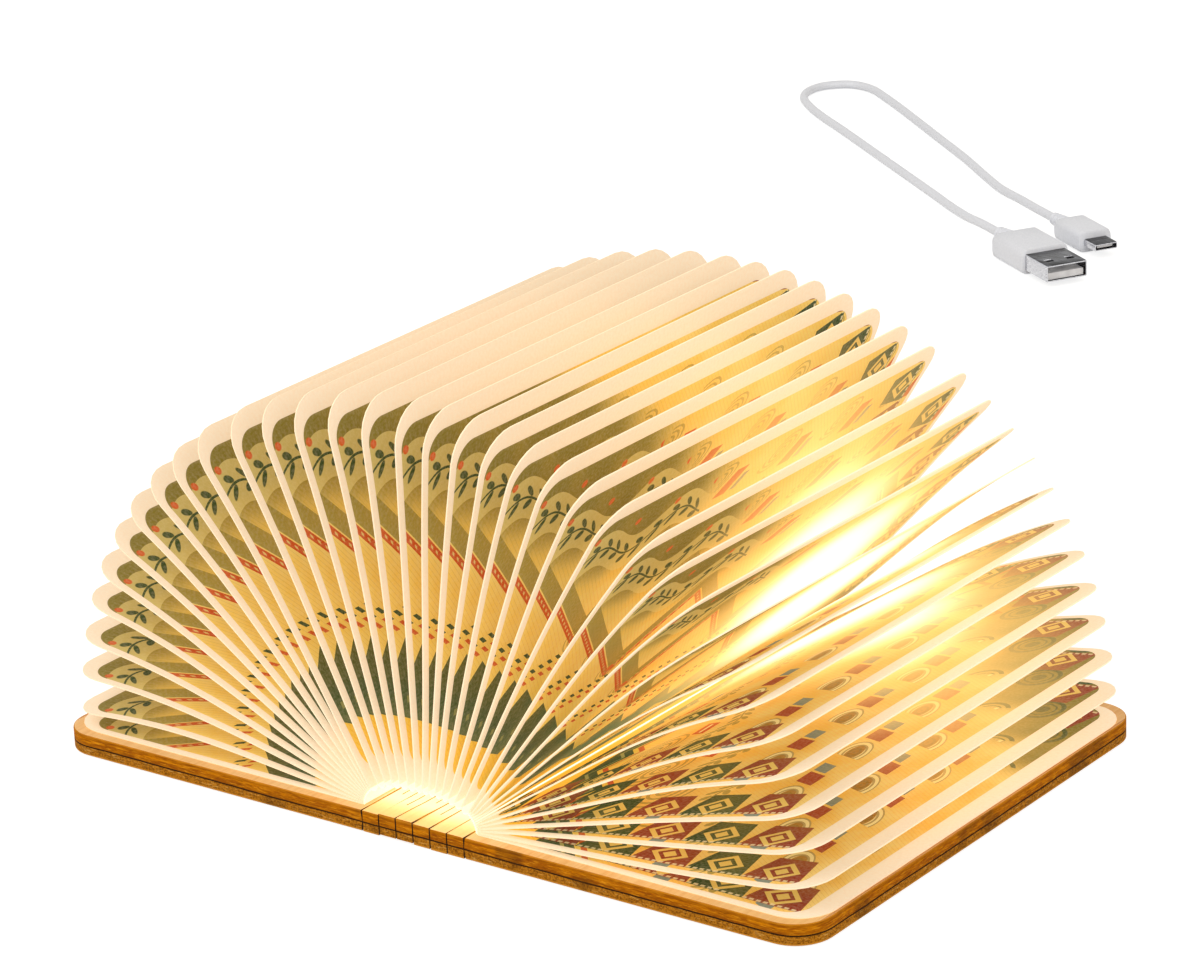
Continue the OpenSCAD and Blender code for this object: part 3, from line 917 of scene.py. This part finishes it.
def slat_tree():
    """Nodes that make a slat: a bar with staggered slits cut through it along its middle."""
    tree, given = shape_tree("slit_slat", {
        "Geometry": ("Seed mesh",), "Vector": ("Centre", "Bar", "Slit", "First slit", "Pitch"),
        "Int": ("Slits",)})
    bar = add(tree, "GeometryNodeMeshCube", {
        "Size": given["Bar"], "Vertices X": 2, "Vertices Y": 25, "Vertices Z": 2})
    row = add(tree, "GeometryNodeMeshLine", {
        "Count": given["Slits"], "Start Location": given["First slit"], "Offset": given["Pitch"]},
        mode="OFFSET")
    cutter = add(tree, "GeometryNodeMeshCube", {"Size": given["Slit"]})
    cutters = add(tree, "GeometryNodeInstanceOnPoints", {"Points": row, "Instance": cutter})
    cutters = add(tree, "GeometryNodeRealizeInstances", {"Geometry": cutters})
    cut = add(tree, "GeometryNodeMeshBoolean",
              {"Mesh 1": bar, "Mesh 2": cutters}, operation="DIFFERENCE", solver="EXACT")
    normal = add(tree, "GeometryNodeInputNormal")
    endways, upright = (abs(add(tree, "SeparateXYZ", (normal,), out=k)) > 0.5 for k in (1, 2))
    along = add(tree, "SeparateXYZ", (add(tree, "GeometryNodeInputPosition"),), out=1)
    at_end = abs(along) > FOLD_LENGTH / 2 - 0.1 * MM
    moved = add(tree, "GeometryNodeSetPosition", {"Geometry": cut, "Offset": given["Centre"]})
    return finish_shape(tree, moved, [
        ("charred_kerf_painted_glow", True), ("birch_face_veneer", upright), ("laser_cut_plywood", endways * at_end)])


class BOOKLAMP_OT_spine(bpy.types.Operator):
    """Make the spine's slats, with their slits"""

    bl_idname = "book_lamp.spine"
    bl_label = "Spine slats"

    def execute(self, context):
        w = wood()
        tree = slat_tree()
        # How far each slat's ends stand up from the table, as the spine isn't quite flat: a slat is
        # level for some way on both sides of its middle, and rises over the run beyond
        lifts = (0.05, 0.3, 0.32, 0.1, 0, 0.05)
        level, run = 50 * MM, 8 * MM
        pitch = w.slit_run + w.slit_gap
        count = int((FOLD_LENGTH - 2 * w.slit_gap) / pitch)
        for k, (node, lift) in enumerate(zip(SLATS, lifts)):
            middle = (k + 0.5 - len(SLATS) / 2) * SLAT_PITCH
            # The slits of every other slat start one gap further in
            margin = w.slit_gap * (1.6 if k % 2 else 2.6)
            start = -FOLD_LENGTH / 2 + margin + w.slit_run / 2
            slat = plain_mesh(f"ply_{node}", bpy.data.meshes.new(node), tree, {
                "Centre": (middle, 0, BOARD / 2),
                "Bar": (SLAT_PITCH - w.kerf, FOLD_LENGTH, BOARD),
                "Slit": (w.slit, w.slit_run, 2 * BOARD), "Slits": count,
                "First slit": (0, start, 0), "Pitch": (0, pitch, 0)})
            for vertex in slat.data.vertices:
                share = (abs(vertex.co.y) - level) / run
                vertex.co.z += lift * MM * min(1, max(0, share))
            stands_for(slat, node)
            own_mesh(slat)
        return {"FINISHED"}


# Light core and magnets

def core_material(name, hex_colour, rough, metallic=0, light=0, coat=0):
    """A finish for a small hard piece, with a fine mottle at its own scale."""
    tree = new_material(name)
    mottle = add(tree, "TexNoise", {"Vector": object_mm(tree)[0], "Scale": 0.35, "Detail": 4})
    darker = tuple(c * 0.82 for c in linear(hex_colour))
    finish_material(tree, {
        "Base Color": paint(tree, hex_colour, (ramp(mottle, 0.3, 0.7), darker)),
        "Roughness": ramp(mottle, 0.3, 0.7, rough, rough + 0.1),
        "Metallic": metallic, "Coat Weight": coat,
        "Emission Color": "FFDFA0", "Emission Strength": light})


class BOOKLAMP_OT_core(bpy.types.Operator):
    """Finish the light core and the magnets"""

    bl_idname = "book_lamp.core"
    bl_label = "Light core and magnets"

    def execute(self, context):
        # Injection-moulded ABS, pouch foil, white and green solder mask, moulded epoxy, plated steel:
        # nodes, material, colour, roughness, metallic, light and coat
        for nodes, name, *finish in (
                # The tray and the white LED board glow a little: painted light from the LEDs
                (("light_tray",), "moulded_white_abs", "EFEDE6", 0.45, 0, 0.25),
                (("battery_cell",), "lithium_pouch_foil", "8FA3B8", 0.28, 0.6),
                (("led_board",), "white_solder_mask", "F4F2EC", 0.3, 0, 0.5),
                (("leds",), "led_phosphor", "FFE9A8", 0.25, 0, 6, 0.5),
                (("control_board",), "green_solder_mask", "1F5B34", 0.32),
                (("opening_sensor",), "black_epoxy", "1B1B1D", 0.5),
                (("charge_socket",), "nickel_plated_steel", "B9BBBF", 0.24, 1),
                (("closing_magnets_left", "closing_magnets_right", "switch_magnet"),
                 "nickel_plated_magnet", "BDBBB4", 0.3, 1)):
            core_material(name, *finish)
            for node in nodes:
                for place in frame["nodes"][node].material_slots:
                    place.material = bpy.data.materials[name]
        return {"FINISHED"}


# Charging cable

def sheath_material():
    """White PVC sheath and grips, satin, with a faint moulding texture."""
    tree = new_material("white_pvc")
    fine = add(tree, "TexNoise", {"Vector": object_mm(tree)[0], "Scale": 2.2, "Detail": 3})
    finish_material(tree, {
        "Base Color": paint(tree, cable().sheath, (ramp(fine, 0.3, 0.7, 0, 0.3), "CDD1DA")),
        "Roughness": ramp(fine, 0.3, 0.7, 0.38, 0.46),
        "Normal": add(tree, "Bump", {"Strength": 0.12, "Distance": 0.00005, "Height": fine})})


def shell_material(name, light, dark):
    """Nickel-plated steel of the plug shells, with fine streaks of painted reflection along the plug."""
    tree = new_material(name)
    turned = add(tree, "Mapping", {
        "Vector": object_mm(tree)[0], "Rotation": (0, 0, -PLUG_ANGLE), "Scale": (0.15, 3, 3)})
    reflection_streaks = add(tree, "TexNoise", {"Vector": turned, "Scale": 1.6, "Detail": 4})
    finish_material(tree, {
        "Base Color": paint(tree, light, (ramp(reflection_streaks, 0.3, 0.6), dark)), "Metallic": 1,
        "Roughness": ramp(reflection_streaks, 0.3, 0.7, 0.16, 0.3)})


def loft(name, at, sections, loop=False, aside=(0, 0)):
    """A skin along the plug at a point, over rounded rectangles, which may lie aside by some Y and Z.

    Each section has its place from the cable's end, half width, half height and corner radius in
    millimetres."""
    found = []
    steps = 6
    for x, half_y, half_z, r in sections:
        r = min(r, half_y - 0.001, half_z - 0.001)
        ring = []
        for side_y, side_z, first in ((1, 1, 0), (-1, 1, 90), (-1, -1, 180), (1, -1, 270)):
            for k in range(steps + 1):
                a = math.radians(first + 90 * k / steps)
                y = aside[0] + side_y * (half_y - r) + r * math.cos(a)
                z = aside[1] + side_z * (half_z - r) + r * math.sin(a)
                ring.append(Vector(at) + Matrix.Rotation(PLUG_ANGLE, 3, "Z") @ Vector((x, y, z)) * MM)
        found.append(ring)
    return skin_mesh(name, found, loop)


def grip_sections(plug):
    """Sections of a strain relief with grooves, then of the grip with eased ends."""
    steps = 4 * cable().ribs
    thin, thick = plug["relief"]
    long, half_y, half_z = plug["grip"]
    found = []
    for k in range(steps + 1):
        radius = thin + (thick - thin) * k / steps
        if k % 4 in (2, 3) and k < steps:
            radius -= 0.45
        found.append((RELIEF * k / steps, radius, radius, radius))
    for place, inset in (
            (0, 0.9), (0.5, 0.3), (1.3, 0), (long - 1, 0), (long - 0.3, 0.2), (long, 0.6)):
        found.append((RELIEF + place, half_y - inset, half_z - inset, 2))
    return found


def cut_latches(shell, at, start, half_z):
    """Cuts the two square latch holes through the top and bottom of a shell."""
    hole, apart_by, back = 2.2, 6, 6.6
    for side in (-1, 1):
        cutter = piece("latch_hole", loft("latch_hole", at, [
            (start + place, hole / 2, 2 * half_z, 0.1) for place in (back, back + hole)],
            aside=(side * apart_by / 2, 0)))
        modifier = shell.modifiers.new("latch", "BOOLEAN")
        modifier.object = cutter
        modifier.solver = "EXACT"
        graph = bpy.context.evaluated_depsgraph_get()
        shell.data = bpy.data.meshes.new_from_object(shell.evaluated_get(graph))
        shell.modifiers.clear()
        bpy.data.objects.remove(cutter)


class BOOKLAMP_OT_cable(bpy.types.Operator):
    """Make the charging cable and its two plugs"""

    bl_idname = "book_lamp.cable"
    bl_label = "Charging cable"

    def execute(self, context):
        c = cable()
        sheath_material()
        # Painted reflection: a dark copy of the shell steel for the wide faces, and a bright copy for the
        # narrow faces and the mouth
        shell_material("plug_steel_dark_reflection", c.metal, "24221F")
        shell_material("plug_steel_bright_reflection", "E4E4E6", "B4B4B8")
        core_material("white_contact_block", "E8E8EA", 0.4)
        curve = bpy.data.curves.new("charging_lead", "CURVE")
        curve.dimensions = "3D"
        curve.bevel_depth = c.thick / 2
        curve.bevel_resolution = 5
        curve.use_fill_caps = True
        curve.resolution_u = 6
        spline = curve.splines.new("BEZIER")
        last = len(CABLE_ROUTE) - 1
        spline.bezier_points.add(last)
        for k, point in enumerate(spline.bezier_points):
            before, after = (Vector(CABLE_ROUTE[j]) for j in (max(k - 1, 0), min(k + 1, last)))
            point.co = CABLE_ROUTE[k]
            reach = (after - before) / 6
            point.handle_left = point.co - reach
            point.handle_right = point.co + reach
        lead = piece("charging_lead", curve, "white_pvc")
        stands_for(lead, "usb_cable")
        made = [part for plug in PLUGS for part in self.plug_pieces(plug)]
        return {"FINISHED"}

    @staticmethod
    def plug_pieces(plug):
        """Grip with its strain relief, shell, and the block that carries the contacts."""
        name, at = plug["name"], plug["at"]
        long, half_y, half_z = plug["shell"]
        mesh = loft(f"{name}_grip", at, grip_sections(plug))
        body = piece(f"{name}_moulded_grip", mesh, "white_pvc", smooth=35)
        stands_for(body, f"{name}_plug_grip")
        start = RELIEF + plug["grip"][0]
        end = start + long
        outer = [(start, half_y, half_z, 0.5), (end - 0.3, half_y, half_z, 0.5),
                 (end, half_y - 0.12, half_z - 0.12, 0.45)]
        inner = [(x, y - plug["wall"], z - plug["wall"], 0.25) for x, y, z, _ in reversed(outer)]
        mesh = loft(f"{name}_shell", at, outer + inner, loop=True)
        metal = piece(f"{name}_metal_shell", mesh, "plug_steel_dark_reflection", smooth=35)
        stands_for(metal, f"{name}_plug_shell")
        if plug["latches"]:
            cut_latches(metal, at, start, half_z)
        dress(metal.data, ("plug_steel_bright_reflection",))
        # Painted reflection: the wide outer faces are dark, and the narrow ones and the mouth bright
        for face in metal.data.polygons:
            outer_face = abs(face.center.z - at[2]) > (half_z - 0.08) * MM
            face.material_index = 0 if outer_face and abs(face.normal.z) > 0.8 else 1
        half, tall, rise = plug["block"]
        mesh = loft(f"{name}_contacts", at, [(x, half, tall / 2, 0.2) for x in (start, end - 0.8)],
                    aside=(0, rise))
        block = piece(f"{name}_contact_block", mesh, "white_contact_block", smooth=35)
        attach(block, BODY_OF[f"{name}_plug_grip"])
        return body, metal, block


# Table, light and camera

def seen_directly(tree):
    """1 for rays from the camera, from a mirror or through glass."""
    camera, glossy, clear = (add(tree, "LightPath", out=k) for k in (0, 3, 6))
    return camera.math("MAXIMUM", glossy).math("MAXIMUM", clear)


class BOOKLAMP_OT_stage(bpy.types.Operator):
    """Set out the table, the lights and the camera"""

    bl_idname = "book_lamp.stage"
    bl_label = "Table, lights and camera"

    def execute(self, context):
        scene = context.scene
        scene.view_settings.view_transform = "Standard"
        lens = bpy.data.cameras.new("camera")
        lens.lens = CAMERA_LENS
        lens.sensor_width = 36
        lens.shift_x, lens.shift_y = CAMERA_SHIFT
        lens.clip_end = 20
        scene.camera = piece("camera", lens)
        turn = Vector(CAMERA_AIM).to_track_quat("-Z", "Y").to_matrix().to_4x4()
        scene.camera.matrix_world = (
            Matrix.Translation(CAMERA_AT) @ turn @ Matrix.Rotation(CAMERA_ROLL, 4, "Z"))
        tree = new_material("white_table")
        coat, shade = (add(tree, "BsdfDiffuse", {"Color": (tone,) * 3}) for tone in (0.82, 0.42))
        white = add(tree, "Emission", {"Color": (1, 1, 1), "Strength": 0.8})
        seen = add(tree, "AddShader", (shade, white))
        finish_material(tree, (seen_directly(tree), coat, seen), "MixShader")
        reach = 6
        corners = [(x * reach, y * reach, 0) for x, y in ((-1, -1), (1, -1), (1, 1), (-1, 1))]
        table = piece("table", solid_mesh("table", corners, [(0, 1, 2, 3)]), "white_table")
        # A little lower than the undersides that lie on it, so that no faces coincide
        table.location.z = -0.2 * MM
        world = bpy.data.worlds.new("studio")
        world.use_nodes = True
        tree = world.node_tree
        tree.nodes.clear()
        soft = add(tree, "Background", {"Color": "FFF8EE", "Strength": 0.6})
        white = add(tree, "Background", {"Color": (1, 1, 1), "Strength": 1})
        shown = add(tree, "MixShader", (seen_directly(tree), soft, white))
        add(tree, "OutputWorld", {"Surface": shown})
        scene.world = world
        # Both softboxes point at the middle of the fan's root
        for name, at, power in (
                ("key_softbox", (-0.35, -0.75, 0.95), 6), ("fill_softbox", (0.95, -0.25, 0.75), 4)):
            data = bpy.data.lights.new(name, "AREA")
            data.size = 0.9
            data.energy = power
            away = Vector(at) - Vector((0, 0, 0.03))
            piece(name, data).matrix_world = (
                Matrix.Translation(at) @ away.to_track_quat("Z", "Y").to_matrix().to_4x4())
        return {"FINISHED"}


class BOOKLAMP_PT_panel(bpy.types.Panel):
    """Panel with the lamp's sizes, colours and pieces"""

    bl_label = "Book lamp"
    bl_idname = "BOOKLAMP_PT_panel"
    bl_space_type = "VIEW_3D"
    bl_region_type = "UI"
    bl_category = "Book lamp"

    def draw(self, context):
        for group in (pages(), wood(), cable()):
            for name in group.__annotations__:
                self.layout.prop(group, name)
        for operator in OPERATORS:
            self.layout.operator(operator.bl_idname)


GROUPS = {
    "book_lamp_pages": BookLampPages, "book_lamp_wood": BookLampWood, "book_lamp_cable": BookLampCable}
OPERATORS = (
    BOOKLAMP_OT_stage, BOOKLAMP_OT_cable, BOOKLAMP_OT_covers, BOOKLAMP_OT_spine, BOOKLAMP_OT_leaves,
    BOOKLAMP_OT_end_papers, BOOKLAMP_OT_inner_folds, BOOKLAMP_OT_core)


def register():
    for cls in (*GROUPS.values(), *OPERATORS, BOOKLAMP_PT_panel):
        bpy.utils.register_class(cls)
    for name, group in GROUPS.items():
        setattr(bpy.types.Scene, name, PointerProperty(type=group))


def unregister():
    for name in GROUPS:
        delattr(bpy.types.Scene, name)
    for cls in reversed((*GROUPS.values(), *OPERATORS, BOOKLAMP_PT_panel)):
        bpy.utils.unregister_class(cls)


def main():
    register()
    for operator in OPERATORS:
        family, name = operator.bl_idname.split(".")
        getattr(getattr(bpy.ops, family), name)()


if __name__ == "__main__":
    main()
